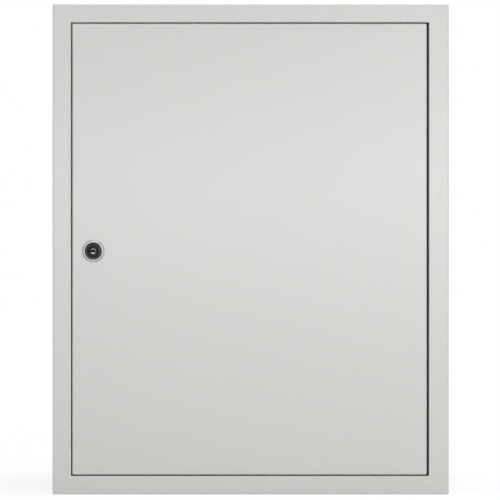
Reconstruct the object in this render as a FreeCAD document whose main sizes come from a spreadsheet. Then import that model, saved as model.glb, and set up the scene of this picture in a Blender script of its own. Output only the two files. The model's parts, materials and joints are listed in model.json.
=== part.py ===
import FreeCAD, Part
import math
import os
import re
from collections import namedtuple

import Sketcher
from FreeCAD import Placement, Rotation, Vector

# Steel wall enclosure: a folded and welded case with an inset door, a quarter-turn cam lock,
# concealed hinge pins and a zinc-plated mounting plate inside.
# +Z is up, +X is the hinge side and -Y is the front. The origin is the middle of the wall fixing
# holes, on the face that lies against the wall. All sizes are in millimetres.

SIZES = {
    # Case
    "case_width": 404.0,
    "case_height": 500.0,
    "case_depth": 220.0,
    "case_sheet": 1.2,
    "bend_radius": 0.3,
    "frame_width": 18.8,
    "hinge_frame_width": 20.2,
    "stop_lip": 9.0,
    "stop_clearance": 1.0,
    "stop_hinge_relief": 3.0,
    "rear_flange": 12.0,
    "rear_corner_notch": 5.0,
    "wall_hole_side_inset": 62.0,
    "wall_hole_end_inset": 60.0,
    "wall_hole_radius": 4.5,
    # Cable entries: knock-outs in the bottom wall
    "knockout_setback": 110.0,
    "knockout_pitch": 160.0,
    "knockout_radius": 14.0,
    "knockout_slot": 0.8,
    "knockout_bridge": 3.0,
    # Door
    "door_sheet": 1.2,
    "door_depth": 14.0,
    "door_lip": 9.0,
    "door_corner_relief": 3.0,
    "gap_lock_side": 1.3,
    "gap_hinge_side": 2.1,
    "gap_end": 1.2,
    # Hinges
    "pin_radius": 3.0,
    "pin_inset": 12.0,
    "pin_setback": 6.5,
    "pin_clearance": 0.08,
    "pin_tip": 5.0,
    "hinge_plate": 2.0,
    "hinge_plate_length": 30.0,
    "hinge_washer_width": 2.0,
    "hinge_washer_play": 0.1,
    # Cam lock
    "lock_inset": 21.6,
    "lock_height": -2.0,
    "lock_flange_radius": 11.5,
    "lock_flange_edge": 0.6,
    "lock_bezel_radius": 9.5,
    "lock_flange_height": 2.6,
    "lock_barrel_radius": 9.0,
    "lock_half_flat": 8.0,
    "lock_hole_clearance": 0.2,
    "lock_recess_radius": 8.7,
    "lock_recess_floor": 0.8,
    "face_ring_width": 1.6,
    "face_ring_height": 1.4,
    "plug_radius": 6.0,
    "plug_head_height": 1.2,
    "plug_clearance": 0.08,
    "lock_play": 0.1,
    "keyway_length": 8.6,
    "keyway_width": 1.7,
    "keyway_depth": 11.0,
    "keyway_bevel": 0.7,
    "shank_width": 7.0,
    "shank_clearance": 0.05,
    "stop_washer": 1.0,
    "stop_lug_width": 5.0,
    "stop_lug_reach": 8.6,
    "stop_half_angle": 26.0,
    "lock_travel": 90.0,
    "lock_nut_height": 4.0,
    "lock_nut_flats": 23.0,
    "cam_clearance": 0.8,
    "cam_sheet": 2.0,
    "cam_reach": 28.0,
    "cam_width": 12.0,
    "cam_hub_radius": 8.0,
    "cam_tip_radius": 4.0,
    "cam_screw_radius": 2.0,
    "cam_screw_depth": 7.0,
    "cam_screw_head_radius": 3.9,
    "cam_screw_head_height": 2.4,
    "cross_recess_length": 4.2,
    "cross_recess_width": 1.0,
    "cross_recess_depth": 1.3,
    # Mounting plate on its studs
    "plate_side_margin": 32.0,
    "plate_end_margin": 35.0,
    "plate_sheet": 1.5,
    "plate_fold": 10.0,
    "plate_standoff": 25.0,
    "plate_hole_inset": 12.5,
    "plate_hole_radius": 3.5,
    "plate_corner_radius": 3.0,
    "spacer_flats": 12.0,
    # Studs and nuts of one thread size
    "stud_radius": 3.0,
    "stud_spare": 3.0,
    "nut_flats": 10.0,
    "nut_height": 5.0,
    "spacer_clearance": 0.2,
    "fit_clearance": 0.05,
    # Earth terminals
    "case_earth_rise": 60.0,
    "case_earth_setback": 120.0,
    "door_earth_rise": 60.0,
    "door_earth_inset": 48.0,
}

doc = FreeCAD.newDocument("wall_enclosure")
sheet = doc.addObject("Spreadsheet::Sheet", "Sizes")
for row, (alias, value) in enumerate(SIZES.items(), start=1):
    sheet.set(f"A{row}", alias.replace("_", " "))
    sheet.set(f"B{row}", str(value))
    sheet.setAlias(f"B{row}", alias)
doc.recompute()

Outline = namedtuple("Outline", "left right bottom top")


def inset(outline, by):
    """The outline drawn in by the same distance on each side."""
    return Outline(
        f"({outline.left} + {by})",
        f"({outline.right} - {by})",
        f"({outline.bottom} + {by})",
        f"({outline.top} - {by})",
    )


# Places that several pieces share, written with the names of the sizes.
# Distances from the wall run forwards, and depths behind the door's face run backwards.
CASE = Outline("(-case_width / 2)", "(case_width / 2)", "(-case_height / 2)", "(case_height / 2)")
OPENING = Outline(
    f"({CASE.left} + frame_width)",
    f"({CASE.right} - hinge_frame_width)",
    f"({CASE.bottom} + frame_width)",
    f"({CASE.top} - frame_width)",
)
DOOR = Outline(
    f"({OPENING.left} + gap_lock_side)",
    f"({OPENING.right} - gap_hinge_side)",
    f"({OPENING.bottom} + gap_end)",
    f"({OPENING.top} - gap_end)",
)
PLATE = Outline(
    f"({CASE.left} + plate_side_margin)",
    f"({CASE.right} - plate_side_margin)",
    f"({CASE.bottom} + plate_end_margin)",
    f"({CASE.top} - plate_end_margin)",
)
RIM_DEPTH = "(door_depth + stop_clearance + case_sheet)"
PIN_X = f"({DOOR.right} - pin_inset)"
PIN_Y = "(pin_setback - case_depth)"
DOOR_SWING = "sqrt(pin_inset ^ 2 + (door_depth - pin_setback) ^ 2)"
LOCK_X = f"({DOOR.left} + lock_inset)"
CAM_FRONT = f"({RIM_DEPTH} + cam_clearance)"
CAM_BACK = f"({CAM_FRONT} + cam_sheet)"
PLUG_SHOULDER = f"({CAM_FRONT} - stop_washer)"
PLUG_HEAD_BACK = "(-lock_recess_floor - plug_clearance)"
PLATE_FRONT = "(plate_standoff + plate_sheet)"
STUD_END = f"({PLATE_FRONT} + nut_height + stud_spare)"


def named_in_sheet(expression):
    """The expression with each size's name pointing into the spreadsheet."""
    return re.sub("[a-z_]+", lambda word: ("Sizes." if word[0] in SIZES else "") + word[0], expression)


def number(expression):
    """The expression's value now."""
    return float(sheet.evalExpression(expression))


def bind(feature, name, expression):
    """Ties one property of a feature to the spreadsheet."""
    feature.setExpression(name, named_in_sheet(expression))


def new_body(label):
    body = doc.addObject("PartDesign::Body", label)
    body.Label = label
    return body


def place(body, x, y, z, rotation=Rotation()):
    """Sets a body's own origin at a point that follows the sizes."""
    body.Placement = Placement(Vector(number(x), number(y), number(z)), rotation)
    for axis, expression in zip("xyz", (x, y, z)):
        bind(body, f"Placement.Base.{axis}", expression)


def new_sketch(body, name, plane, offset):
    """A sketch parallel to one of the body's own origin planes."""
    sketch = body.newObject("Sketcher::SketchObject", name)
    support = next(item for item in body.Origin.OriginFeatures if item.Role == plane)
    sketch.AttachmentSupport = [(support, "")]
    sketch.MapMode = "FlatFace"
    bind(sketch, "AttachmentOffset.Base.z", offset)
    return sketch


def front_sketch(body, name, from_wall="0"):
    """A sketch seen from the front, in X and Z. It faces forwards, away from the wall."""
    return new_sketch(body, name, "XZ_Plane", from_wall)


def plan_sketch(body, name, height="0"):
    """A sketch seen from above, in X and Y. It faces up."""
    return new_sketch(body, name, "XY_Plane", height)


def tie(sketch, geometry, point, x, y):
    """Ties one point of a sketch to its origin."""
    for kind, expression in (("DistanceX", x), ("DistanceY", y)):
        constraint = Sketcher.Constraint(kind, -1, 1, geometry, point, number(expression))
        bind(sketch, f"Constraints[{sketch.addConstraint(constraint)}]", expression)


def polygon(sketch, corners):
    """A closed outline of straight lines through the corners."""
    points = [Vector(number(x), number(y), 0) for x, y in corners]
    first = sketch.GeometryCount
    for start, end in zip(points, points[1:] + points[:1]):
        sketch.addGeometry(Part.LineSegment(start, end), False)
    for index, (x, y) in enumerate(corners):
        following = first + (index + 1) % len(corners)
        sketch.addConstraint(Sketcher.Constraint("Coincident", first + index, 2, following, 1))
        tie(sketch, first + index, 1, x, y)


def rectangle(sketch, outline):
    left, right, bottom, top = outline
    polygon(sketch, [(left, bottom), (right, bottom), (right, top), (left, top)])


def centred_rectangle(sketch, x, y, width, height):
    left, right = f"({x} - {width} / 2)", f"({x} + {width} / 2)"
    bottom, top = f"({y} - {height} / 2)", f"({y} + {height} / 2)"
    rectangle(sketch, Outline(left, right, bottom, top))


def circle(sketch, x, y, radius):
    centre = Vector(number(x), number(y), 0)
    item = sketch.addGeometry(Part.Circle(centre, Vector(0, 0, 1), number(radius)), False)
    tie(sketch, item, 3, x, y)
    limit = sketch.addConstraint(Sketcher.Constraint("Radius", item, number(radius)))
    bind(sketch, f"Constraints[{limit}]", radius)


def hexagon(sketch, x, y, flats):
    """A hexagon with two sides upright, sized across its flats."""
    reach = f"({flats} / 2 / cos(30))"
    points = []
    for turn in range(30, 390, 60):
        points.append((f"({x} + {reach} * cos({turn}))", f"({y} + {reach} * sin({turn}))"))
    polygon(sketch, points)


def double_flat_circle(sketch, x, y, radius, half_flat):
    """A circle with a flat on its left and right sides."""
    centre = Vector(number(x), number(y), 0)
    side, rise = number(half_flat), math.sqrt(number(radius) ** 2 - number(half_flat) ** 2)
    angle = math.atan2(rise, side)
    whole = Part.Circle(centre, Vector(0, 0, 1), number(radius))
    right = Part.LineSegment(centre + Vector(side, -rise, 0), centre + Vector(side, rise, 0))
    left = Part.LineSegment(centre + Vector(-side, rise, 0), centre + Vector(-side, -rise, 0))
    upper = Part.ArcOfCircle(whole, angle, math.pi - angle)
    lower = Part.ArcOfCircle(whole, math.pi + angle, 2 * math.pi - angle)
    items = [sketch.addGeometry(piece, False) for piece in (right, upper, left, lower)]
    for item, following in zip(items, items[1:] + items[:1]):
        sketch.addConstraint(Sketcher.Constraint("Coincident", item, 2, following, 1))
    for arc in (items[1], items[3]):
        tie(sketch, arc, 3, x, y)
        limit = sketch.addConstraint(Sketcher.Constraint("Radius", arc, number(radius)))
        bind(sketch, f"Constraints[{limit}]", radius)
    for line, sign in ((items[0], "+"), (items[2], "-")):
        sketch.addConstraint(Sketcher.Constraint("Vertical", line))
        flat = f"({x} {sign} {half_flat})"
        limit = sketch.addConstraint(Sketcher.Constraint("DistanceX", -1, 1, line, 1, number(flat)))
        bind(sketch, f"Constraints[{limit}]", flat)


def add_feature(body, kind, sketch, name):
    feature = body.newObject(kind, name)
    feature.Profile = sketch
    return feature


def pad(body, sketch, length, backwards=False):
    """Adds the sketch's outline as a solid, along the way the sketch faces or backwards."""
    feature = add_feature(body, "PartDesign::Pad", sketch, sketch.Name + "_pad")
    bind(feature, "Length", length)
    feature.Reversed = backwards
    doc.recompute()
    return feature


def pocket(body, sketch, length, forwards=False, symmetric=False):
    """Cuts the sketch's outline out, against the way the sketch faces unless it runs forwards."""
    before = body.Shape.Volume
    feature = add_feature(body, "PartDesign::Pocket", sketch, sketch.Name + "_cut")
    bind(feature, "Length", length)
    feature.Reversed = forwards
    if symmetric:
        feature.SideType = "Symmetric"
    doc.recompute()
    if not body.Shape.Volume < before:
        raise RuntimeError(f"{sketch.Name} cut nothing from {body.Label}")
    return feature


def revolve(body, sketch):
    """Turns the sketch's outline about the body's own Z axis."""
    feature = add_feature(body, "PartDesign::Revolution", sketch, sketch.Name + "_turned")
    feature.ReferenceAxis = (sketch, ["V_Axis"])
    doc.recompute()
    return feature


def dress(body, kind, size, expression, test, name):
    """Rounds or bevels the edges whose middle point passes the test."""
    base = body.Tip
    edges = [
        f"Edge{index}"
        for index, edge in enumerate(base.Shape.Edges, start=1)
        if test(edge.valueAt((edge.FirstParameter + edge.LastParameter) / 2))
    ]
    feature = body.newObject(kind, name)
    feature.Base = (base, edges)
    bind(feature, size, expression)
    doc.recompute()
    return feature


def round_edges(body, radius, test, name):
    return dress(body, "PartDesign::Fillet", "Radius", radius, test, name)


def bevel_edges(body, size, test, name):
    return dress(body, "PartDesign::Chamfer", "Size", size, test, name)


def same(a, b):
    return abs(a - b) < 1e-4


def folded_tray(body, outline, face, depth, thickness, towards_wall, rounded_corners=True):
    """A sheet tray: a flat face with four folded sides that run towards the wall or away from it."""
    edge = f"({face} - {depth})" if towards_wall else f"({face} + {depth})"
    blank = front_sketch(body, body.Label + "_outline", face)
    rectangle(blank, outline)
    pad(body, blank, depth, backwards=towards_wall)
    flat_side, open_side = -number(face), -number(edge)
    round_edges(
        body,
        f"bend_radius + {thickness}",
        lambda point: not same(point.y, open_side) and (rounded_corners or same(point.y, flat_side)),
        body.Label + "_outer_bends",
    )
    hollow = front_sketch(body, body.Label + "_inside", edge)
    rectangle(hollow, inset(outline, thickness))
    pocket(body, hollow, f"{depth} - {thickness}", forwards=towards_wall)
    floor = -number(f"{face} - {thickness}" if towards_wall else f"{face} + {thickness}")
    round_edges(body, "bend_radius", lambda point: same(point.y, floor), body.Label + "_inner_bends")


# Case


def build_case_shell():
    """Walls, front frame, the rim that is folded back round the opening, and the door's stop."""
    body = new_body("case_shell")
    folded_tray(body, CASE, "case_depth", "case_depth", "case_sheet", towards_wall=True)

    opening = front_sketch(body, "door_opening", "case_depth")
    rectangle(opening, OPENING)
    pocket(body, opening, "2 * case_sheet")

    rim = front_sketch(body, "folded_rim", f"case_depth - {RIM_DEPTH}")
    rectangle(rim, inset(OPENING, "-case_sheet"))
    rectangle(rim, OPENING)
    pad(body, rim, RIM_DEPTH)
    front = -number("case_depth")
    inside = [number(limit) for limit in inset(OPENING, "-case_sheet")]
    round_edges(
        body,
        "bend_radius + case_sheet",
        lambda p: same(p.y, front) and inside[0] < p.x < inside[1] and inside[2] < p.z < inside[3],
        "rim_bends",
    )

    # The stop leaves the hinge corner free, where the door's edge turns inwards.
    stop = front_sketch(body, "door_stop", f"case_depth - {RIM_DEPTH}")
    end = f"({PIN_X} - {DOOR_SWING} - stop_hinge_relief)"
    outer = inset(OPENING, "-case_sheet")
    inner = inset(OPENING, "stop_lip")
    polygon(
        stop,
        [
            (end, outer.top),
            (outer.left, outer.top),
            (outer.left, outer.bottom),
            (end, outer.bottom),
            (end, inner.bottom),
            (inner.left, inner.bottom),
            (inner.left, inner.top),
            (end, inner.top),
        ],
    )
    pad(body, stop, "case_sheet")

    pins = plan_sketch(body, "pin_holes")
    circle(pins, PIN_X, PIN_Y, "pin_radius + fit_clearance")
    pocket(body, pins, f"{OPENING.top} - {OPENING.bottom} + 4 * case_sheet", symmetric=True)

    # Each knock-out is a disc that hangs on two bridges across a thin slot.
    centres = [f"({side} * knockout_pitch / 2)" for side in (-1, 1)]
    slots = plan_sketch(body, "knockout_slots", CASE.bottom)
    for x in centres:
        circle(slots, x, "-knockout_setback", "knockout_radius")
        circle(slots, x, "-knockout_setback", "knockout_radius - knockout_slot")
    pocket(body, slots, "2 * case_sheet", forwards=True)
    bridges = plan_sketch(body, "knockout_bridges", CASE.bottom)
    for x in centres:
        for side in (-1, 1):
            middle = f"({x} + {side} * (knockout_radius - knockout_slot / 2))"
            centred_rectangle(bridges, middle, "-knockout_setback", "3 * knockout_slot", "knockout_bridge")
    pad(body, bridges, "case_sheet")
    return body


def corners(x, y):
    """The four places at plus and minus x and y."""
    return [(f"({side} * {x})", f"({end} * {y})") for side in (-1, 1) for end in (-1, 1)]


def build_rear_wall():
    """A shallow tray that closes the back of the case, with its flanges welded inside the walls."""
    body = new_body("rear_wall")
    outline = inset(CASE, "case_sheet")
    folded_tray(body, outline, "0", "rear_flange", "case_sheet", towards_wall=False, rounded_corners=False)
    notches = front_sketch(body, "corner_notches", "rear_flange")
    x, z = f"({outline.right} - rear_corner_notch / 2)", f"({outline.top} - rear_corner_notch / 2)"
    for place_x, place_z in corners(x, z):
        centred_rectangle(notches, place_x, place_z, "rear_corner_notch", "rear_corner_notch")
    pocket(body, notches, "rear_flange - case_sheet - bend_radius")
    holes = front_sketch(body, "wall_holes")
    for x, z in corners(f"({CASE.right} - wall_hole_side_inset)", f"({CASE.top} - wall_hole_end_inset)"):
        circle(holes, x, z, "wall_hole_radius")
    pocket(body, holes, "2 * case_sheet", forwards=True)
    return body


# Hinges
ENDS = (("upper", 1), ("lower", -1))


def hinge_level(end, distance):
    """The height at a distance from the opening's end, counted away from the door."""
    return f"({end} * ({OPENING.top} + {distance}))"


def build_case_hinge_plate(label, end):
    """The plate that is welded behind the rim and holds the hinge pin."""
    body = new_body(label)
    outline = plan_sketch(body, label + "_outline", hinge_level(end, "case_sheet"))
    left, right = f"({PIN_X} - hinge_plate_length / 2)", f"({PIN_X} + hinge_plate_length / 2)"
    front, back = "(case_sheet - case_depth)", f"(-case_depth + {RIM_DEPTH} - case_sheet)"
    rectangle(outline, Outline(left, right, front, back))
    circle(outline, PIN_X, PIN_Y, "pin_radius + fit_clearance")
    pad(body, outline, "hinge_plate", backwards=end < 0)
    return body


def build_hinge_pins():
    """Two pins, each welded into the case's plate and reaching through the rim into the door."""
    body = new_body("hinge_pins")
    outside = "(case_sheet + hinge_plate)"
    for name, end in ENDS:
        pin = plan_sketch(body, name + "_pin_outline", hinge_level(end, outside))
        circle(pin, PIN_X, PIN_Y, "pin_radius")
        length = f"({outside} + gap_end + door_sheet + hinge_plate + pin_tip)"
        pad(body, pin, length, backwards=end > 0)
    return body


def build_hinge_washers():
    """A slip washer in the gap between each end of the door and the rim."""
    body = new_body("hinge_washers")
    for name, end in ENDS:
        ring = plan_sketch(body, name + "_washer_outline", hinge_level(end, "-gap_end + hinge_washer_play"))
        circle(ring, PIN_X, PIN_Y, "pin_radius + pin_clearance + hinge_washer_width")
        circle(ring, PIN_X, PIN_Y, "pin_radius + pin_clearance")
        pad(body, ring, "gap_end - hinge_washer_play", backwards=end < 0)
    return body


def build_door_hinge_plate(label, end):
    """The plate inside the door's folded end that turns on the hinge pin."""
    body = new_body(label)
    under_fold = f"({end} * ({DOOR.top} - door_sheet))"
    outline = plan_sketch(body, label + "_outline", under_fold)
    right = f"({DOOR.right} - door_sheet - bend_radius)"
    front, back = "(door_sheet + bend_radius - case_depth)", "(door_depth - door_sheet - case_depth)"
    rectangle(outline, Outline(f"({right} - hinge_plate_length)", right, front, back))
    circle(outline, PIN_X, PIN_Y, "pin_radius + pin_clearance")
    pad(body, outline, "hinge_plate", backwards=end > 0)
    return body


# Door


def build_door_panel():
    """A folded tray with an inner lip, the lock's double-flat hole and the hinge holes."""
    body = new_body("door_panel")
    folded_tray(body, DOOR, "case_depth", "door_depth", "door_sheet", towards_wall=True)

    lip = front_sketch(body, "inner_lip", "case_depth - door_depth")
    inner_wall = inset(DOOR, "door_sheet")
    rectangle(lip, inset(DOOR, "door_sheet / 2"))
    rectangle(lip, inset(inner_wall, "door_lip"))
    pad(body, lip, "door_sheet")
    relief = front_sketch(body, "lip_corner_reliefs", "case_depth - door_depth")
    size = "door_corner_relief"
    near = inset(inner_wall, f"(door_lip - {size} / 2)")
    for x in (near.left, near.right):
        for z in (near.bottom, near.top):
            centred_rectangle(relief, x, z, f"(2 * {size})", f"(2 * {size})")
    pocket(body, relief, "door_sheet", forwards=True)

    lock_hole = front_sketch(body, "lock_hole", "case_depth")
    radius = "(lock_barrel_radius + lock_hole_clearance)"
    double_flat_circle(lock_hole, LOCK_X, "lock_height", radius, "(lock_half_flat + lock_hole_clearance)")
    pocket(body, lock_hole, "2 * door_sheet")

    pins = plan_sketch(body, "door_pin_holes")
    circle(pins, PIN_X, PIN_Y, "pin_radius + pin_clearance")
    pocket(body, pins, f"{DOOR.top} - {DOOR.bottom} + 2 * door_sheet", symmetric=True)
    return body


# Cam lock. Each piece is modelled on the lock's own axis: Z runs back from the door's face,
# X to the right and Y down.
INTO_CASE = Rotation(Vector(1, 0, 0), -90)


def place_in_door(body):
    place(body, LOCK_X, "-case_depth", "lock_height", INTO_CASE)


def turned_sketch(body, name):
    """A profile for turning, with the radius across and the depth behind the door's face up."""
    return new_sketch(body, name, "XZ_Plane", "0")


def sector(sketch, start, end, reach):
    """A pie slice between two angles, drawn with straight sides out past the reach."""
    angles = [f"({start} + ({end} - {start}) * {step} / 3)" for step in range(4)]
    rim = [(f"({reach} * cos({angle}))", f"({reach} * sin({angle}))") for angle in angles]
    polygon(sketch, [("0", "0")] + rim)


def build_lock_housing():
    """The lock's barrel and its coned front flange, with a quadrant cut in the end for the stop."""
    body = new_body("lock_housing")
    end = f"({CAM_FRONT} - lock_play)"
    bore = "(plug_radius + plug_clearance)"
    profile = turned_sketch(body, "housing_profile")
    polygon(
        profile,
        [
            (bore, "-lock_recess_floor"),
            ("lock_recess_radius", "-lock_recess_floor"),
            ("lock_recess_radius", "-lock_flange_height"),
            ("lock_bezel_radius", "-lock_flange_height"),
            ("lock_flange_radius", "-lock_flange_edge"),
            ("lock_flange_radius", "0"),
            ("lock_barrel_radius", "0"),
            ("lock_barrel_radius", end),
            (bore, end),
        ],
    )
    revolve(body, profile)
    flats = plan_sketch(body, "barrel_flats", end)
    for side in (-1, 1):
        centre = f"({side} * (lock_half_flat + lock_barrel_radius / 2))"
        centred_rectangle(flats, centre, "0", "lock_barrel_radius", "3 * lock_barrel_radius")
    pocket(body, flats, end)
    quadrant = plan_sketch(body, "stop_quadrant", end)
    start, last = "(-90 - stop_half_angle)", "(lock_travel - 90 + stop_half_angle)"
    sector(quadrant, start, last, "2 * lock_barrel_radius")
    pocket(body, quadrant, "stop_washer")
    place_in_door(body)
    return body


def build_lock_face_ring():
    """The black ring that is pressed into the flange's recess, round the plug."""
    body = new_body("lock_face_ring")
    profile = turned_sketch(body, "face_ring_profile")
    outer = "(lock_recess_radius - fit_clearance)"
    inner = "(lock_recess_radius - face_ring_width)"
    front = "(-lock_recess_floor - face_ring_height)"
    polygon(
        profile,
        [
            (inner, "-lock_recess_floor"),
            (outer, "-lock_recess_floor"),
            (outer, front),
            (inner, front),
        ],
    )
    revolve(body, profile)
    place_in_door(body)
    return body


def build_lock_nut():
    body = new_body("lock_nut")
    outline = plan_sketch(body, "lock_nut_outline", "door_sheet")
    hexagon(outline, "0", "0", "lock_nut_flats")
    circle(outline, "0", "0", "lock_barrel_radius + fit_clearance")
    pad(body, outline, "lock_nut_height")
    place_in_door(body)
    return body


def build_lock_plug():
    """The turning plug: its head, the keyway, the square shank for the cam and the screw's hole."""
    body = new_body("lock_plug")
    head_radius = "(lock_recess_radius - face_ring_width - plug_clearance)"
    head_front = f"({PLUG_HEAD_BACK} - plug_head_height)"
    profile = turned_sketch(body, "plug_profile")
    polygon(
        profile,
        [
            ("0", head_front),
            (head_radius, head_front),
            (head_radius, PLUG_HEAD_BACK),
            ("plug_radius", PLUG_HEAD_BACK),
            ("plug_radius", PLUG_SHOULDER),
            ("0", PLUG_SHOULDER),
        ],
    )
    revolve(body, profile)
    keyway = plan_sketch(body, "keyway", head_front)
    centred_rectangle(keyway, "0", "0", "keyway_length", "keyway_width")
    pocket(body, keyway, "keyway_depth", forwards=True)
    mouth, half_slot = number(head_front), number("keyway_length") / 2
    bevel_edges(
        body,
        "keyway_bevel",
        lambda point: same(point.z, mouth) and abs(point.x) < half_slot and abs(point.y) < half_slot / 2,
        "keyway_mouth",
    )
    shank = plan_sketch(body, "plug_shank", PLUG_SHOULDER)
    centred_rectangle(shank, "0", "0", "shank_width", "shank_width")
    pad(body, shank, "stop_washer + cam_sheet - lock_play")
    tapped = plan_sketch(body, "screw_hole", CAM_BACK)
    circle(tapped, "0", "0", "cam_screw_radius + fit_clearance")
    pocket(body, tapped, "cam_screw_depth + lock_play")
    place_in_door(body)
    return body


def square_on_shank(sketch):
    side = "(shank_width + 2 * shank_clearance)"
    centred_rectangle(sketch, "0", "0", side, side)


def build_cam_stop_washer():
    """The washer whose lug runs in the housing's quadrant and limits the turn."""
    body = new_body("cam_stop_washer")
    lug = plan_sketch(body, "stop_lug", PLUG_SHOULDER)
    half = "(stop_lug_width / 2)"
    rectangle(lug, Outline(f"(-{half})", half, "(-stop_lug_reach)", "(-shank_width / 2 - shank_clearance)"))
    disc = plan_sketch(body, "stop_disc", PLUG_SHOULDER)
    circle(disc, "0", "0", "plug_radius - plug_clearance")
    square_on_shank(disc)
    pad(body, disc, "stop_washer")
    pad(body, lug, "stop_washer")
    place_in_door(body)
    return body


def build_lock_cam():
    """The cam that turns behind the door stop. It hangs down when the door is unlocked."""
    body = new_body("lock_cam")
    arm = plan_sketch(body, "cam_arm", CAM_FRONT)
    half = "(cam_width / 2)"
    rectangle(arm, Outline(f"(-{half})", half, "(shank_width / 2 + shank_clearance)", "cam_reach"))
    hub = plan_sketch(body, "cam_hub", CAM_FRONT)
    circle(hub, "0", "0", "cam_hub_radius")
    square_on_shank(hub)
    pad(body, hub, "cam_sheet")
    pad(body, arm, "cam_sheet")
    reach, middle = number("cam_reach"), number(f"{CAM_FRONT} + cam_sheet / 2")
    round_edges(
        body, "cam_tip_radius", lambda point: same(point.y, reach) and same(point.z, middle), "cam_tip"
    )
    place_in_door(body)
    return body


def build_cam_screw():
    """The cross-recessed screw that clamps the cam on the plug's shank."""
    body = new_body("cam_screw")
    shank = plan_sketch(body, "screw_shank", CAM_BACK)
    circle(shank, "0", "0", "cam_screw_radius")
    pad(body, shank, "cam_screw_depth", backwards=True)
    head = plan_sketch(body, "screw_head", CAM_BACK)
    circle(head, "0", "0", "cam_screw_head_radius")
    pad(body, head, "cam_screw_head_height")
    recess = plan_sketch(body, "cross_recess", f"{CAM_BACK} + cam_screw_head_height")
    long_side, short_side = "cross_recess_length / 2", "cross_recess_width / 2"
    steps = [(short_side, long_side), (short_side, short_side), (long_side, short_side)]
    quarter = [(f"({x})", f"({y})") for x, y in steps]
    right_down = [(x, f"(-{y})") for x, y in reversed(quarter)]
    left_down = [(f"(-{x})", f"(-{y})") for x, y in quarter]
    left_up = [(f"(-{x})", y) for x, y in reversed(quarter)]
    polygon(recess, quarter + right_down + left_down + left_up)
    pocket(body, recess, "cross_recess_depth")
    place_in_door(body)
    return body


# Mounting plate


def plate_stud_places():
    inward = "plate_hole_inset"
    return corners(f"({PLATE.right} - {inward})", f"({PLATE.top} - {inward})")


def build_mounting_plate():
    """A plate with its long edges folded back, and a clearance hole for each stud."""
    body = new_body("mounting_plate")
    blank = front_sketch(body, "plate_outline", PLATE_FRONT)
    rectangle(blank, PLATE)
    pad(body, blank, "plate_fold", backwards=True)
    front, side = -number(PLATE_FRONT), number(PLATE.right)
    round_edges(
        body,
        "bend_radius + plate_sheet",
        lambda point: same(point.y, front) and same(abs(point.x), side),
        "plate_outer_bends",
    )
    hollow = front_sketch(body, "plate_back", f"{PLATE_FRONT} - plate_fold")
    past = Outline(
        f"({PLATE.left} + plate_sheet)",
        f"({PLATE.right} - plate_sheet)",
        f"(2 * {PLATE.bottom})",
        f"(2 * {PLATE.top})",
    )
    rectangle(hollow, past)
    pocket(body, hollow, "plate_fold - plate_sheet", forwards=True)
    inner, floor = number(past.right), -number(f"{PLATE_FRONT} - plate_sheet")
    round_edges(
        body,
        "bend_radius",
        lambda point: same(point.y, floor) and same(abs(point.x), inner),
        "plate_inner_bends",
    )
    edge, free = number(PLATE.top), -number(f"{PLATE_FRONT} - plate_fold")
    round_edges(
        body,
        "plate_corner_radius",
        lambda point: same(abs(point.z), edge) and same(point.y, free),
        "plate_fold_ends",
    )
    holes = front_sketch(body, "plate_holes", PLATE_FRONT)
    for x, z in plate_stud_places():
        circle(holes, x, z, "plate_hole_radius")
    pocket(body, holes, "2 * plate_sheet")
    return body


def build_group(label, from_wall, length, draw):
    """Four equal pieces, one on each stud of the mounting plate."""
    body = new_body(label)
    sketch = front_sketch(body, label + "_outline", from_wall)
    for x, z in plate_stud_places():
        draw(sketch, x, z)
    pad(body, sketch, length)
    return body


def nut_on_stud(sketch, x, y):
    hexagon(sketch, x, y, "nut_flats")
    circle(sketch, x, y, "stud_radius + fit_clearance")


def spacer_on_stud(sketch, x, y):
    hexagon(sketch, x, y, "spacer_flats")
    circle(sketch, x, y, "stud_radius + spacer_clearance")


def stud(sketch, x, y):
    circle(sketch, x, y, "stud_radius")


def build_plate_hardware():
    return [
        build_group("plate_studs", "case_sheet", f"{STUD_END} - case_sheet", stud),
        build_group("plate_spacers", "case_sheet", "plate_standoff - case_sheet", spacer_on_stud),
        build_group("plate_nuts", PLATE_FRONT, "nut_height", nut_on_stud),
    ]


# Earth terminals, modelled with Z along the stud


def build_earth_terminal(prefix, x, y, z, rotation):
    """A welded stud with the nut that clamps a ring terminal on it."""
    shank = new_body(prefix + "_earth_stud")
    outline = plan_sketch(shank, prefix + "_stud_outline")
    stud(outline, "0", "0")
    pad(shank, outline, "nut_height + stud_spare")
    nut = new_body(prefix + "_earth_nut")
    outline = plan_sketch(nut, prefix + "_nut_outline")
    nut_on_stud(outline, "0", "0")
    pad(nut, outline, "nut_height")
    for body in (shank, nut):
        place(body, x, y, z, rotation)
    return [shank, nut]


def build_all():
    pieces = [
        build_case_shell(),
        build_rear_wall(),
        build_mounting_plate(),
        build_door_panel(),
        build_lock_housing(),
        build_lock_face_ring(),
        build_lock_nut(),
        build_lock_plug(),
        build_cam_stop_washer(),
        build_lock_cam(),
        build_cam_screw(),
    ]
    for name, end in ENDS:
        pieces.append(build_case_hinge_plate(f"{name}_case_hinge_plate", end))
        pieces.append(build_door_hinge_plate(f"{name}_door_hinge_plate", end))
    pieces += [build_hinge_pins(), build_hinge_washers()]
    pieces += build_plate_hardware()
    side_wall = f"({CASE.right} - case_sheet)"
    earth_height = f"({CASE.bottom} + case_earth_rise)"
    pieces += build_earth_terminal(
        "case", side_wall, "-case_earth_setback", earth_height, Rotation(Vector(0, 1, 0), -90)
    )
    pieces += build_earth_terminal(
        "door",
        f"{DOOR.right} - door_earth_inset",
        "door_sheet - case_depth",
        f"{DOOR.bottom} + door_earth_rise",
        INTO_CASE,
    )
    return pieces


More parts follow.
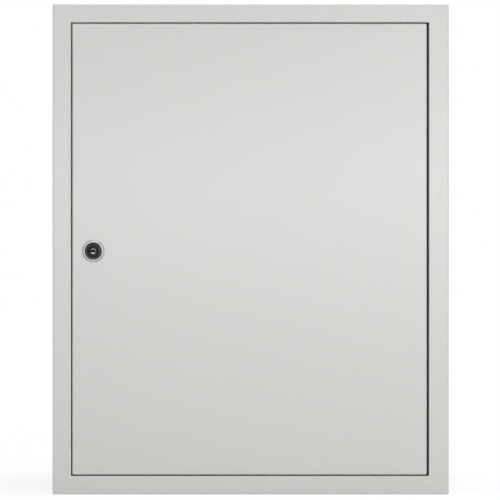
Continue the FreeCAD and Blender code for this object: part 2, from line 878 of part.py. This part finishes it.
def check(pieces):
    """Stops if any object of the document failed, or a piece isn't a sound solid."""
    doc.recompute()
    for item in doc.Objects:
        if "Invalid" in item.State or "Error" in item.State:
            raise RuntimeError(f"{item.Name} failed: {item.State}")
    for piece in pieces:
        shape = piece.Shape
        if shape.isNull() or not shape.isValid() or not shape.Solids:
            raise RuntimeError(f"{piece.Label} is not a valid solid")


def export(pieces):
    os.makedirs("parts", exist_ok=True)
    for piece in pieces:
        piece.Shape.exportStep(f"parts/{piece.Label}.step")


PIECES = build_all()
check(PIECES)
export(PIECES)
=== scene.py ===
import json
import math

import bmesh
import bpy
from mathutils import Matrix, Vector


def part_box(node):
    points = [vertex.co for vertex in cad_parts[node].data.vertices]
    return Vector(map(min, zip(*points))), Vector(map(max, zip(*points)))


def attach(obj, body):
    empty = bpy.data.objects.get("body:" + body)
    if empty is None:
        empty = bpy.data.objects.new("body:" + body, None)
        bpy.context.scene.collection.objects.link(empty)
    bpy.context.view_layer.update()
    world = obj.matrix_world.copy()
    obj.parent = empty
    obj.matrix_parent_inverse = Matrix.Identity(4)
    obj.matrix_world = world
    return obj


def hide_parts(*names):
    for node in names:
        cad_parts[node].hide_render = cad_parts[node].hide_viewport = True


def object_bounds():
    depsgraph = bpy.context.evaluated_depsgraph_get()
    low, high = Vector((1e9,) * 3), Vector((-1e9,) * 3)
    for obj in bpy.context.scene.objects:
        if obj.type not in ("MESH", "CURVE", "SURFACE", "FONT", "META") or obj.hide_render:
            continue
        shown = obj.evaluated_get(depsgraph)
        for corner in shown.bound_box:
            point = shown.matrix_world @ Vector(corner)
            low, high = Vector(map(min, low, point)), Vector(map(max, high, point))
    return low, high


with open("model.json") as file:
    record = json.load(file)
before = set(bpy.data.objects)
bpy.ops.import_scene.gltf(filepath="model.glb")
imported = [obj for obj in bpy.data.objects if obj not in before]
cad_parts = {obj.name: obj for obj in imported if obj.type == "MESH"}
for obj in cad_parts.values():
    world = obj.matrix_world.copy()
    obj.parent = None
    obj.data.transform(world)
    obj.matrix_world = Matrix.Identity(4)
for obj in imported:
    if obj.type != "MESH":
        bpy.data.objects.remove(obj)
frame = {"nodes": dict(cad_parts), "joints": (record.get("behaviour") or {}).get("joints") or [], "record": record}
cad_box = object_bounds()
nodes = frame["nodes"]
MM = 0.001
LOCK_AXIS = Vector(next(joint["pos_m"] for joint in frame["joints"] if joint["name"] == "lock_turn"))
CREASE_ANGLE = math.radians(40)
DRAWN_CREASE_ANGLE = math.radians(32)


# Materials


def new_material(name):
    """A material with its shader, a function that adds linked nodes, and one that drives the shader."""
    material = bpy.data.materials.new(name)
    material.use_nodes = True
    tree = material.node_tree
    tree.nodes.clear()
    output = tree.nodes.new("ShaderNodeOutputMaterial")
    shader = tree.nodes.new("ShaderNodeBsdfPrincipled")
    tree.links.new(shader.outputs[0], output.inputs["Surface"])

    def add(kind, inputs, **settings):
        node = tree.nodes.new(kind)
        for key, value in settings.items():
            setattr(node, key, value)
        for key, value in inputs.items():
            if isinstance(value, bpy.types.NodeSocket):
                tree.links.new(value, node.inputs[key])
            else:
                node.inputs[key].default_value = value
        return node

    def drive(socket, source):
        tree.links.new(source, shader.inputs[socket])

    return material, shader, add, drive


def own_place(add, origin):
    """The point on the surface in metres from an origin, which stays with a piece when it moves."""
    place = add("ShaderNodeTexCoord", {}).outputs["Object"]
    return add("ShaderNodeVectorMath", {0: place, 1: tuple(origin)}, operation="SUBTRACT").outputs[0]


def surface_place(add):
    """The point on the surface, from an origin well away from the object."""
    return own_place(add, (-3.1, -5.3, -7.7))


def noise(add, place, scale, detail=2.0, roughness=0.5):
    inputs = {"Vector": place, "Scale": scale, "Detail": detail, "Roughness": roughness}
    return add("ShaderNodeTexNoise", inputs)


def remap(add, source, from_low, from_high, low, high):
    return add("ShaderNodeMapRange", {0: source, 1: from_low, 2: from_high, 3: low, 4: high}).outputs[0]


def blend_colours(add, factor, first, second):
    """Goes from the first colour to the second as the factor goes from 0 to 1."""
    return add("ShaderNodeMix", {0: factor, 6: (*first, 1), 7: (*second, 1)}, data_type="RGBA").outputs[2]


def bump(add, height, distance, strength, under=None):
    inputs = {"Height": height, "Distance": distance, "Strength": strength}
    if under:
        inputs["Normal"] = under
    return add("ShaderNodeBump", inputs).outputs[0]


def powder_coat(name, light, dark, roughness):
    """Semi-matt powder coat: fleck, fine orange peel and a finer grain."""
    material, shader, add, drive = new_material(name)
    place = surface_place(add)
    fleck = noise(add, place, 900.0).outputs[0]
    drive("Base Color", blend_colours(add, fleck, dark, light))
    drive("Roughness", remap(add, fleck, 0.3, 0.7, roughness - 0.03, roughness + 0.03))
    peel = bump(add, noise(add, place, 420.0, 1.5, 0.45).outputs[0], 0.25 * MM, 0.16)
    drive("Normal", bump(add, noise(add, place, 2600.0, 1.0).outputs[0], 0.06 * MM, 0.10, peel))
    return material


def galvanised(name):
    """Galvanised sheet: crystals of different tone and gloss, with a fine rolled grain."""
    material, shader, add, drive = new_material(name)
    shader.inputs["Metallic"].default_value = 1.0
    place = surface_place(add)
    wander = noise(add, place, 60.0).outputs["Color"]
    ragged = add("ShaderNodeVectorMath", {0: wander, "Scale": 6 * MM}, operation="SCALE").outputs[0]
    moved = add("ShaderNodeVectorMath", {0: place, 1: ragged}, operation="ADD").outputs[0]
    crystals = add("ShaderNodeTexVoronoi", {"Vector": moved, "Scale": 110.0}).outputs["Color"]
    parts = add("ShaderNodeSeparateColor", {0: crystals}).outputs
    grain = noise(add, place, 1300.0, 3.0).outputs[0]
    tone = add("ShaderNodeMath", {0: parts[0], 1: grain}, operation="ADD").outputs[0]
    shade = remap(add, tone, 0.4, 1.6, 0.0, 1.0)
    drive("Base Color", blend_colours(add, shade, (0.30, 0.31, 0.325), (0.46, 0.475, 0.49)))
    drive("Roughness", remap(add, parts[1], 0.0, 1.0, 0.42, 0.60))
    drive("Normal", bump(add, parts[2], 0.1 * MM, 0.12))
    return material


def plated(name, first, second, roughness, grain_depth=0.02 * MM, metallic=1.0):
    """Plated metal: a faint cloud of tint and gloss over a fine grain."""
    material, shader, add, drive = new_material(name)
    shader.inputs["Metallic"].default_value = metallic
    place = surface_place(add)
    cloud = noise(add, place, 160.0, 3.0).outputs[0]
    drive("Base Color", blend_colours(add, remap(add, cloud, 0.35, 0.65, 0.0, 1.0), first, second))
    drive("Roughness", remap(add, cloud, 0.3, 0.7, 0.85 * roughness, 1.15 * roughness))
    drive("Normal", bump(add, noise(add, place, 900.0).outputs[0], grain_depth, 0.2))
    return material


# The radius in millimetres at the far end of a ramp of tones
RAMP_REACH = 10.0


def plating_with_painted_light(name, stops, slot_shade_depths=(1.0, 1.0)):
    """Black plating whose tone changes with the distance from the lock's axis, smoother where it is paler.

    Each stop is a radius in millimetres and a tone. The paler rings are painted highlights, set where the
    lamps' reflections should show on the edges and in the dish. Between the two depths of the key slot
    it is painted black, a painted shade for the depth of the slot.
    """
    material, shader, add, drive = new_material(name)
    shader.inputs["Metallic"].default_value = 1.0
    place = own_place(add, LOCK_AXIS)
    cloud = noise(add, surface_place(add), 700.0, 3.0).outputs[0]
    scale = 1 / (RAMP_REACH * MM)
    across = add("ShaderNodeVectorMath", {0: place, 1: (scale, 0, scale)}, operation="MULTIPLY").outputs[0]
    radius = add("ShaderNodeVectorMath", {0: across}, operation="LENGTH").outputs["Value"]
    wander = remap(add, cloud, 0.3, 0.7, -0.008, 0.008)
    ragged = add("ShaderNodeMath", {0: radius, 1: wander}, operation="ADD").outputs[0]
    ramp = add("ShaderNodeValToRGB", {0: ragged})
    elements = ramp.color_ramp.elements
    elements[0].position, elements[1].position = stops[0][0] / RAMP_REACH, stops[-1][0] / RAMP_REACH
    for position, _ in stops[1:-1]:
        elements.new(position / RAMP_REACH)
    for element, (_, tone) in zip(elements, stops):
        element.color = (tone, tone, tone, 1)
    # Painted shade: between the two depths of the key slot the colour is painted black, standing in for the shade
    # in the slot.
    depth = add("ShaderNodeSeparateXYZ", {0: place}).outputs[1]
    start, end = slot_shade_depths
    fade = 0.2
    entered = remap(add, depth, (start - fade) * MM, start * MM, 0.0, 1.0)
    beyond = remap(add, depth, end * MM, (end + fade) * MM, 1.0, 0.0)
    painted_slot_shade = add("ShaderNodeMath", {0: entered, 1: beyond}, operation="MULTIPLY").outputs[0]
    black = (0.003, 0.003, 0.003, 1)
    tones = add("ShaderNodeMix", {0: painted_slot_shade, 6: ramp.outputs[0], 7: black}, data_type="RGBA")
    drive("Base Color", tones.outputs[2])
    drive("Roughness", remap(add, ramp.outputs[0], 0.012, 0.06, 0.48, 0.17))
    drive("Normal", bump(add, cloud, 0.01 * MM, 0.15))
    return material


def moulded(name, first, second, roughness):
    """Moulded plastic with a fine texture."""
    material, shader, add, drive = new_material(name)
    place = surface_place(add)
    cloud = noise(add, place, 300.0).outputs[0]
    drive("Base Color", blend_colours(add, cloud, first, second))
    drive("Roughness", remap(add, cloud, 0.3, 0.7, roughness - 0.05, roughness + 0.05))
    drive("Normal", bump(add, noise(add, place, 1500.0).outputs[0], 0.03 * MM, 0.25))
    return material


# Tones by radius from the lock's axis for the black ring and the plug. Their paler bands, on the ring's shoulder,
# the plug's rim and the dish round the keyway, are painted highlights, set where the lamps' reflections should
# show.
RING_TONES_WITH_PAINTED_HIGHLIGHTS = [(7.0, 0.006), (7.32, 0.006), (7.42, 0.05), (7.7, 0.05), (7.8, 0.005), (8.8, 0.005)]
PLUG_TONES_WITH_PAINTED_HIGHLIGHTS = [(0.0, 0.2), (2.8, 0.2), (3.1, 0.015), (6.6, 0.015), (6.7, 0.08), (7.1, 0.08)]
SLOT_MATERIALS = {
    "light_grey_paint": powder_coat(
        "light_grey_powder_coat", (0.640, 0.641, 0.624), (0.626, 0.627, 0.610), 0.30
    ),
    "galvanised_sheet": galvanised("galvanised_plate"),
    "zinc_plated_steel": plated("bright_zinc", (0.64, 0.65, 0.68), (0.73, 0.73, 0.71), 0.30),
    "copper_plated_steel": plated("copper_flash", (0.70, 0.38, 0.25), (0.80, 0.50, 0.34), 0.34),
    "lock_chrome": plated("satin_chrome", (0.44, 0.44, 0.44), (0.48, 0.48, 0.48), 0.32, 0.01 * MM, 0.5),
    "lock_black": plating_with_painted_light("satin_black_with_painted_highlights", RING_TONES_WITH_PAINTED_HIGHLIGHTS),
    "lock_plug_metal": plating_with_painted_light("black_nickel_with_painted_light", PLUG_TONES_WITH_PAINTED_HIGHLIGHTS, (-1.0, 11.2)),
    "black_nylon": moulded("black_nylon_grain", (0.025, 0.025, 0.025), (0.035, 0.035, 0.035), 0.5),
}
NODE_SLOTS = {entry["node"]: entry["material_slot"] for entry in frame["record"]["subparts"]}
NODE_BODIES = {
    node: body for body, group in frame["record"]["behaviour"]["bodies"].items() for node in group
}


# Finish of the pieces used from the CAD model


def soften(item, bevel):
    """Smooth bends between flat faces, and on small pieces a fine bevel along the sharp edges."""
    for polygon in item.data.polygons:
        polygon.use_smooth = True
    item.modifiers.new("weld", "WELD").merge_threshold = 0.001 * MM
    if bevel:
        rounding = item.modifiers.new("bevel", "BEVEL")
        rounding.width = bevel
        rounding.segments = 2
        rounding.limit_method = "ANGLE"
        rounding.angle_limit = CREASE_ANGLE
    item.modifiers.new("crease", "EDGE_SPLIT").split_angle = CREASE_ANGLE
    item.modifiers.new("normals", "WEIGHTED_NORMAL").keep_sharp = True


BEVELS = {
    "hinge_pins": 0.45 * MM,
    "hinge_washers": 0.12 * MM,
    "upper_case_hinge_plate": 0.2 * MM,
    "lower_case_hinge_plate": 0.2 * MM,
    "upper_door_hinge_plate": 0.2 * MM,
    "lower_door_hinge_plate": 0.2 * MM,
    "cam_stop_washer": 0.1 * MM,
    "lock_cam": 0.2 * MM,
}
for name, slot in NODE_SLOTS.items():
    nodes[name].data.materials.clear()
    nodes[name].data.materials.append(SLOT_MATERIALS[slot])


# Mesh building. Pieces are drawn in millimetres about their own Z axis and then set in place.

ROUND = 96


def ring(radius, level, count=ROUND):
    """One ring of points. The radius and the level are numbers, or functions of the angle."""
    points = []
    for step in range(count):
        angle = 2 * math.pi * step / count
        reach = radius(angle) if callable(radius) else radius
        height = level(angle) if callable(level) else level
        points.append((reach * math.cos(angle), reach * math.sin(angle), height))
    return points


def skin(mesh, rings, closed):
    """Joins rings by faces. A closed skin meets itself again; an open one gets a cap at each end."""
    rows = [[mesh.verts.new(point) for point in points] for points in rings]
    count = len(rows[0])
    following = rows[1:] + rows[:1] if closed else rows[1:]
    for lower, upper in zip(rows, following):
        for step in range(count):
            after = (step + 1) % count
            mesh.faces.new((lower[step], lower[after], upper[after], upper[step]))
    if not closed:
        mesh.faces.new(list(reversed(rows[0])))
        mesh.faces.new(rows[-1])


def new_piece(name, rings, places, closed=True):
    """One object with the same skin of rings at each of its places."""
    mesh = bmesh.new()
    for place in places:
        skin(mesh, [[place @ (Vector(point) * MM) for point in points] for points in rings], closed)
    bmesh.ops.recalc_face_normals(mesh, faces=mesh.faces)
    data = bpy.data.meshes.new(name)
    mesh.to_mesh(data)
    mesh.free()
    item = bpy.data.objects.new(name, data)
    bpy.context.scene.collection.objects.link(item)
    return item


def combine(item, operation, others):
    """Cuts the other shapes out of the object, or adds them to it, and removes them."""
    for other in others:
        boolean = item.modifiers.new("combine", "BOOLEAN")
        boolean.operation = operation
        boolean.object = other
        boolean.solver = "EXACT"
    bpy.context.view_layer.update()
    shaped = item.evaluated_get(bpy.context.evaluated_depsgraph_get())
    data = bpy.data.meshes.new_from_object(shaped)
    item.modifiers.clear()
    item.data = data
    for other in others:
        bpy.data.objects.remove(other)


def stand_for(item, node):
    """The piece takes a node's place, with its body, its finish and smooth shading."""
    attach(item, NODE_BODIES[node])
    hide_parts(node)
    item.data.materials.clear()
    item.data.materials.append(SLOT_MATERIALS[NODE_SLOTS[node]])
    for polygon in item.data.polygons:
        polygon.use_smooth = True
        polygon.material_index = 0
    item.modifiers.new("crease", "EDGE_SPLIT").split_angle = DRAWN_CREASE_ANGLE


def oblong(left, right, low, high, level, grow=0.0):
    """The four corners of a rectangle on one level."""
    left, right, low, high = left - grow, right + grow, low - grow, high + grow
    return [(left, low, level), (right, low, level), (right, high, level), (left, high, level)]


def block(name, left, right, low, high, start, end, place):
    """A plain box that cuts another piece or becomes a part of it."""
    rings = [oblong(left, right, low, high, start), oblong(left, right, low, high, end)]
    return new_piece(name, rings, [place], closed=False)


# Fasteners

THREAD_STEPS = 8
CHAMFER_SLOPE = math.tan(math.radians(30))


def nut_rings(flats, bore, low, high):
    """A hexagon with its corners turned off at both ends, round a bore with a small lead-in."""
    sector = math.pi / 3
    flat, lead = flats / 2 - 0.2, 0.3

    def side(angle):
        return flats / 2 / math.cos(angle % sector - sector / 2)

    def turned_off(end, sign):
        return lambda angle: end - sign * (side(angle) - flat) * CHAMFER_SLOPE

    return [
        ring(bore, low + lead),
        ring(bore + lead, low),
        ring(flat, low),
        ring(side, turned_off(low, -1)),
        ring(side, turned_off(high, 1)),
        ring(flat, high),
        ring(bore + lead, high),
        ring(bore, high - lead),
    ]


def threaded_rings(radius, pitch, depth, start, thread_start, end, flat=None):
    """A rod with a thread from one level to its bevelled end, and flats on two sides if it has them."""

    def reach(level):
        def at_angle(angle):
            phase = 2 * math.pi * level / pitch - angle
            groove = depth * (0.5 - 0.5 * math.cos(phase)) if level > thread_start else 0.0
            size = min(radius - groove, radius - depth + 0.9 * (end - level))
            return min(size, flat / max(abs(math.cos(angle)), 0.01)) if flat else size

        return at_angle

    steps = round((end - thread_start) / pitch * THREAD_STEPS)
    levels = [start] + [thread_start + (end - thread_start) * step / steps for step in range(steps + 1)]
    return [ring(reach(level), level) for level in levels]


def along(axis, turn, origin):
    """Sets a piece's own Z axis by a quarter turn about a world axis, at an origin in metres."""
    return Matrix.Translation(origin) @ Matrix.Rotation(math.radians(turn), 4, axis)


STUD_RADIUS = 3.0
STUD_PITCH = 1.0
STUD_THREAD = 0.55
NUT_FLATS = 10.0
SPACER_FLATS = 12.0
NUT_CLEARANCE = 0.05
SPACER_CLEARANCE = 0.2


def plate_fasteners():
    """The threaded studs of the mounting plate with their hexagon spacers and nuts."""
    low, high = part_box("plate_studs")
    wall = high.y
    half = STUD_RADIUS * MM
    places = [
        along("X", 90, Vector((x, wall, z)))
        for x in (low.x + half, high.x - half)
        for z in (low.z + half, high.z - half)
    ]
    length, spacer_end, nut_end = (
        (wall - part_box(f"plate_{kind}")[0].y) / MM for kind in ("studs", "spacers", "nuts")
    )
    nut_start = (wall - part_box("plate_nuts")[1].y) / MM
    rod = threaded_rings(STUD_RADIUS, STUD_PITCH, STUD_THREAD, start=0.0, thread_start=spacer_end, end=length)
    stand_for(new_piece("threaded_plate_studs", rod, places, closed=False), "plate_studs")
    spacer = nut_rings(SPACER_FLATS, STUD_RADIUS + SPACER_CLEARANCE, 0.0, spacer_end)
    stand_for(new_piece("chamfered_plate_spacers", spacer, places), "plate_spacers")
    nut = nut_rings(NUT_FLATS, STUD_RADIUS + NUT_CLEARANCE, nut_start, nut_end)
    stand_for(new_piece("chamfered_plate_nuts", nut, places), "plate_nuts")


def earth_terminal(prefix, place, length, nut_height):
    """A threaded stud with its nut."""
    rod = threaded_rings(STUD_RADIUS, STUD_PITCH, STUD_THREAD, start=0.0, thread_start=0.4, end=length)
    stud = new_piece(f"threaded_{prefix}_earth_stud", rod, [place], closed=False)
    stand_for(stud, f"{prefix}_earth_stud")
    nut = nut_rings(NUT_FLATS, STUD_RADIUS + NUT_CLEARANCE, 0.0, nut_height)
    stand_for(new_piece(f"chamfered_{prefix}_earth_nut", nut, [place]), f"{prefix}_earth_nut")


def earth_terminals():
    """The earth studs of the case and of the door, each with its nut."""
    low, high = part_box("case_earth_stud")
    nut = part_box("case_earth_nut")
    base = Vector((high.x, (low.y + high.y) / 2, (low.z + high.z) / 2))
    earth_terminal("case", along("Y", -90, base), (high.x - low.x) / MM, (nut[1].x - nut[0].x) / MM)
    low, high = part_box("door_earth_stud")
    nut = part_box("door_earth_nut")
    base = Vector(((low.x + high.x) / 2, low.y, (low.z + high.z) / 2))
    earth_terminal("door", along("X", -90, base), (high.y - low.y) / MM, (nut[1].y - nut[0].y) / MM)


# Cam lock. Depths run back from the door's face, in millimetres.

LOCK = along("X", -90, LOCK_AXIS)
BORE = 6.08
BARREL_RADIUS = 9.0
BARREL_HALF_FLAT = 8.0
BARREL_PITCH = 1.0
BARREL_THREAD = 0.5
LOCK_NUT_FLATS = 23.0
# A small flat cap of this radius closes a turned solid at its axis
CAP_RADIUS = 0.05


def depth_of(node, side):
    """How far behind the door's face a node starts (0) or ends (1)."""
    return (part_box(node)[side].y - LOCK_AXIS.y) / MM


def turned_piece(name, profile, closed=True):
    """Turns a profile of (radius, depth) points about the lock's axis."""
    return new_piece(name, [ring(radius, depth) for radius, depth in profile], [LOCK], closed)


def lock_housing():
    """A domed flange on a threaded barrel, with two flats and the quadrant for the stop."""
    end = depth_of("lock_housing", 1)
    front = depth_of("lock_housing", 0)
    dome = [
        (BORE, -0.8),
        (8.7, -0.8),
        (8.7, front + 0.3),
        (8.82, front + 0.1),
        (9.0, front),
        (9.2, front),
        (9.5, front + 0.06),
        (9.8, front + 0.2),
        (10.2, front + 0.52),
        (10.6, front + 0.94),
        (11.0, front + 1.42),
        (11.3, front + 1.86),
        (11.45, front + 2.15),
        (11.5, front + 2.4),
        (11.5, 0.0),
        (8.98, 0.0),
    ]
    flange = [ring(radius, depth) for radius, depth in dome]
    barrel = threaded_rings(
        BARREL_RADIUS,
        BARREL_PITCH,
        BARREL_THREAD,
        start=0.05,
        thread_start=1.2,
        end=end,
        flat=BARREL_HALF_FLAT,
    )
    item = new_piece("threaded_lock_housing", flange + barrel + [ring(BORE, end)], [LOCK])
    rim = [math.radians(angle) for angle in (-116, -80, -45, -10, 26)]
    wedge = [(0.0, 0.0)] + [(30 * math.cos(angle), 30 * math.sin(angle)) for angle in rim]
    levels = [[(x, y, depth) for x, y in wedge] for depth in (end - 1.0, end + 1.0)]
    combine(item, "DIFFERENCE", [new_piece("quadrant", levels, [LOCK], closed=False)])
    stand_for(item, "lock_housing")


def lock_face_ring():
    """The black ring, with rounded shoulders."""
    inner, outer = 7.1, 8.65
    back, front = depth_of("lock_face_ring", 1), depth_of("lock_face_ring", 0)
    profile = [
        (inner, back),
        (outer, back),
        (outer, front + 0.35),
        (outer - 0.05, front + 0.2),
        (outer - 0.2, front + 0.1),
        (7.9, front + 0.05),
        (7.3, front),
        (7.2, front + 0.04),
        (inner, front + 0.2),
    ]
    stand_for(turned_piece("rounded_face_ring", profile), "lock_face_ring")


def lock_nut():
    """The chamfered hexagon nut on the lock's barrel."""
    start, end = depth_of("lock_nut", 0), depth_of("lock_nut", 1)
    rings = nut_rings(LOCK_NUT_FLATS, BARREL_RADIUS + NUT_CLEARANCE, start, end)
    stand_for(new_piece("chamfered_lock_nut", rings, [LOCK]), "lock_nut")


def keyway(name, left, right, low, high, face, flare=0.12, deep=11.0):
    """A slot with a bevelled mouth, for cutting into the plug."""
    rings = [
        oblong(left, right, low, high, face - 0.5, flare + 0.5),
        oblong(left, right, low, high, face + flare),
        oblong(left, right, low, high, face + deep),
    ]
    return new_piece(name, rings, [LOCK], closed=False)


def squared(size):
    """The reach at each angle of a square with well-rounded corners."""
    return lambda angle: size / (math.cos(angle) ** 4 + math.sin(angle) ** 4) ** 0.25


def lock_plug():
    """The plug: a dished dark face, a stepped keyway and a square shank with the screw's hole."""
    face, shank_end = depth_of("lock_plug", 0), depth_of("lock_plug", 1)
    shoulder = depth_of("cam_stop_washer", 0)
    profile = [
        (CAP_RADIUS, face + 1.1),
        (squared(1.15), face + 1.1),
        (squared(1.25), face + 1.067),
        (squared(1.35), face + 0.983),
        (squared(2.35), face + 0.144),
        (squared(2.45), face + 0.06),
        (squared(2.55), face + 0.015),
        (squared(2.7), face),
        (6.5, face),
        (6.9, face + 0.035),
        (6.99, face + 0.1),
        (7.02, face + 0.22),
        (7.02, face + 1.2),
        (6.0, face + 1.2),
        (6.0, shoulder),
        (CAP_RADIUS, shoulder),
    ]
    item = turned_piece("dished_lock_plug", profile, closed=False)
    wide = keyway("keyway_wide", -4.3, 1.6, -0.9, 0.9, face)
    narrow = keyway("keyway_narrow", 1.4, 4.3, -0.45, 0.55, face)
    combine(item, "DIFFERENCE", [wide, narrow])
    combine(item, "UNION", [block("shank", -3.5, 3.5, -3.5, 3.5, shoulder - 0.5, shank_end, LOCK)])
    hole = turned_piece("screw_hole", [(2.05, shank_end - 7), (2.05, shank_end + 2)], closed=False)
    combine(item, "DIFFERENCE", [hole])
    stand_for(item, "lock_plug")


def cam_screw():
    """A pan-head screw with a cross recess."""
    start, back, end = depth_of("cam_screw", 0), depth_of("lock_cam", 1), depth_of("cam_screw", 1)
    profile = [
        (1.4, start),
        (2.0, start + 0.6),
        (2.0, back),
        (3.8, back),
        (3.9, back + 0.15),
        (3.9, end - 1.1),
        (3.72, end - 0.6),
        (3.3, end - 0.24),
        (2.6, end - 0.07),
        (1.4, end),
        (CAP_RADIUS, end),
    ]
    item = turned_piece("pan_head_cam_screw", profile, closed=False)
    arms = [
        block("recess_across", -2.1, 2.1, -0.5, 0.5, end - 1.5, end + 1, LOCK),
        block("recess_along", -0.5, 0.5, -2.1, 2.1, end - 1.5, end + 1, LOCK),
    ]
    combine(item, "DIFFERENCE", arms)
    stand_for(item, "cam_screw")


plate_fasteners()
earth_terminals()
lock_housing()
lock_face_ring()
lock_nut()
lock_plug()
cam_screw()
for name, item in nodes.items():
    if not item.hide_render:
        soften(item, BEVELS.get(name, 0))


# Camera: straight at the door, from near enough to see a little into the gaps

VIEW_DISTANCE = 2.5
VIEW_WIDTH = 0.5097
VIEW_ASIDE = -0.66 * MM
VIEW_HEIGHT = -0.9 * MM
camera_data = bpy.data.cameras.new("camera")
camera_data.sensor_width = 36.0
camera_data.lens = camera_data.sensor_width * VIEW_DISTANCE / VIEW_WIDTH
camera = bpy.data.objects.new("camera", camera_data)
bpy.context.scene.collection.objects.link(camera)
camera.location = (VIEW_ASIDE, LOCK_AXIS.y - VIEW_DISTANCE, VIEW_HEIGHT)
camera.rotation_euler = (math.radians(90), 0, 0)
bpy.context.scene.camera = camera


# Floor, backdrop and light


def seen_directly(tree):
    """One where a surface is seen by the camera or in a reflection or through glass, else zero."""
    path = tree.nodes.new("ShaderNodeLightPath")
    total = path.outputs["Is Camera Ray"]
    for name in ("Is Glossy Ray", "Is Transmission Ray"):
        either = tree.nodes.new("ShaderNodeMath")
        either.operation = "MAXIMUM"
        tree.links.new(total, either.inputs[0])
        tree.links.new(path.outputs[name], either.inputs[1])
        total = either.outputs[0]
    return total


FLOOR_DROP = 0.3 * MM
WORLD_LEVEL = 0.30
GLOW_FAR = 0.925
GLOW_DIP = 0.153
LIT_RADIUS_SQUARED = 7.0
FLOOR_TONE = 0.78
FLOOR_TONE_SEEN = 0.27


def pale_floor():
    """A matt floor that is white where it is seen and lit, and takes a soft shadow.

    The lamps light it less further out, so its own brightness grows there by as much.
    """
    material, shader, add, drive = new_material("pale_floor")
    shader.inputs["Roughness"].default_value = 1.0
    shader.inputs["Specular IOR Level"].default_value = 0.0
    shader.inputs["Emission Color"].default_value = (1, 1, 1, 1)
    seen = seen_directly(material.node_tree)
    place = add("ShaderNodeTexCoord", {}).outputs["Object"]
    square = add("ShaderNodeVectorMath", {0: place, 1: place}, operation="DOT_PRODUCT").outputs["Value"]
    inputs = {0: square, 1: 1 / LIT_RADIUS_SQUARED, 2: 1.0}
    spread = add("ShaderNodeMath", inputs, operation="MULTIPLY_ADD").outputs[0]
    lit = add("ShaderNodeMath", {0: spread, 1: -2.0}, operation="POWER").outputs[0]
    glow = add("ShaderNodeMath", {0: lit, 1: -GLOW_DIP, 2: GLOW_FAR}, operation="MULTIPLY_ADD").outputs[0]
    drive("Emission Strength", add("ShaderNodeMath", {0: seen, 1: glow}, operation="MULTIPLY").outputs[0])
    drive("Base Color", blend_colours(add, seen, (FLOOR_TONE,) * 3, (FLOOR_TONE_SEEN,) * 3))
    return material


def lay_floor(level, reach=8.0):
    """A flat square floor. The reach is half its width, in metres."""
    mesh = bpy.data.meshes.new("floor")
    corners = [(-reach, -reach, level), (reach, -reach, level), (reach, reach, level), (-reach, reach, level)]
    mesh.from_pydata(corners, [], [(0, 1, 2, 3)])
    mesh.materials.append(pale_floor())
    floor = bpy.data.objects.new("floor", mesh)
    bpy.context.scene.collection.objects.link(floor)


def soft_lamp(name, location, width, height, power):
    """A rectangular lamp that faces the middle of the case."""
    data = bpy.data.lights.new(name, "AREA")
    data.shape = "RECTANGLE"
    data.size = width
    data.size_y = height
    data.energy = power
    lamp = bpy.data.objects.new(name, data)
    bpy.context.scene.collection.objects.link(lamp)
    lamp.location = location
    lamp.rotation_euler = (-Vector(location)).to_track_quat("-Z", "Y").to_euler()
    lamp.visible_camera = False


def studio_world(level):
    """White where it is seen, and a soft even light on the object."""
    world = bpy.data.worlds.new("studio")
    bpy.context.scene.world = world
    world.use_nodes = True
    tree = world.node_tree
    tree.nodes.clear()
    output = tree.nodes.new("ShaderNodeOutputWorld")
    choice = tree.nodes.new("ShaderNodeMixShader")
    tree.links.new(seen_directly(tree), choice.inputs[0])
    for index, strength in ((1, level), (2, 1.0)):
        background = tree.nodes.new("ShaderNodeBackground")
        background.inputs["Color"].default_value = (1, 1, 1, 1)
        background.inputs["Strength"].default_value = strength
        tree.links.new(background.outputs[0], choice.inputs[index])
    tree.links.new(choice.outputs[0], output.inputs["Surface"])


lay_floor(cad_box[0].z - FLOOR_DROP)
studio_world(WORLD_LEVEL)
LAMPS = (
    ("band", (0.2, -1.6, 0.1), 1.4, 0.15, 5.3),
    ("key", (0.75, -1.9, 0.45), 0.9, 0.9, 5.6),
    ("fill", (-0.9, -1.7, 0.5), 0.8, 0.8, 2.3),
    ("top", (0.2, 0.0, 2.4), 1.6, 1.6, 39.8),
)
for lamp in LAMPS:
    soft_lamp(*lamp)

bpy.context.scene.view_settings.view_transform = "Standard"
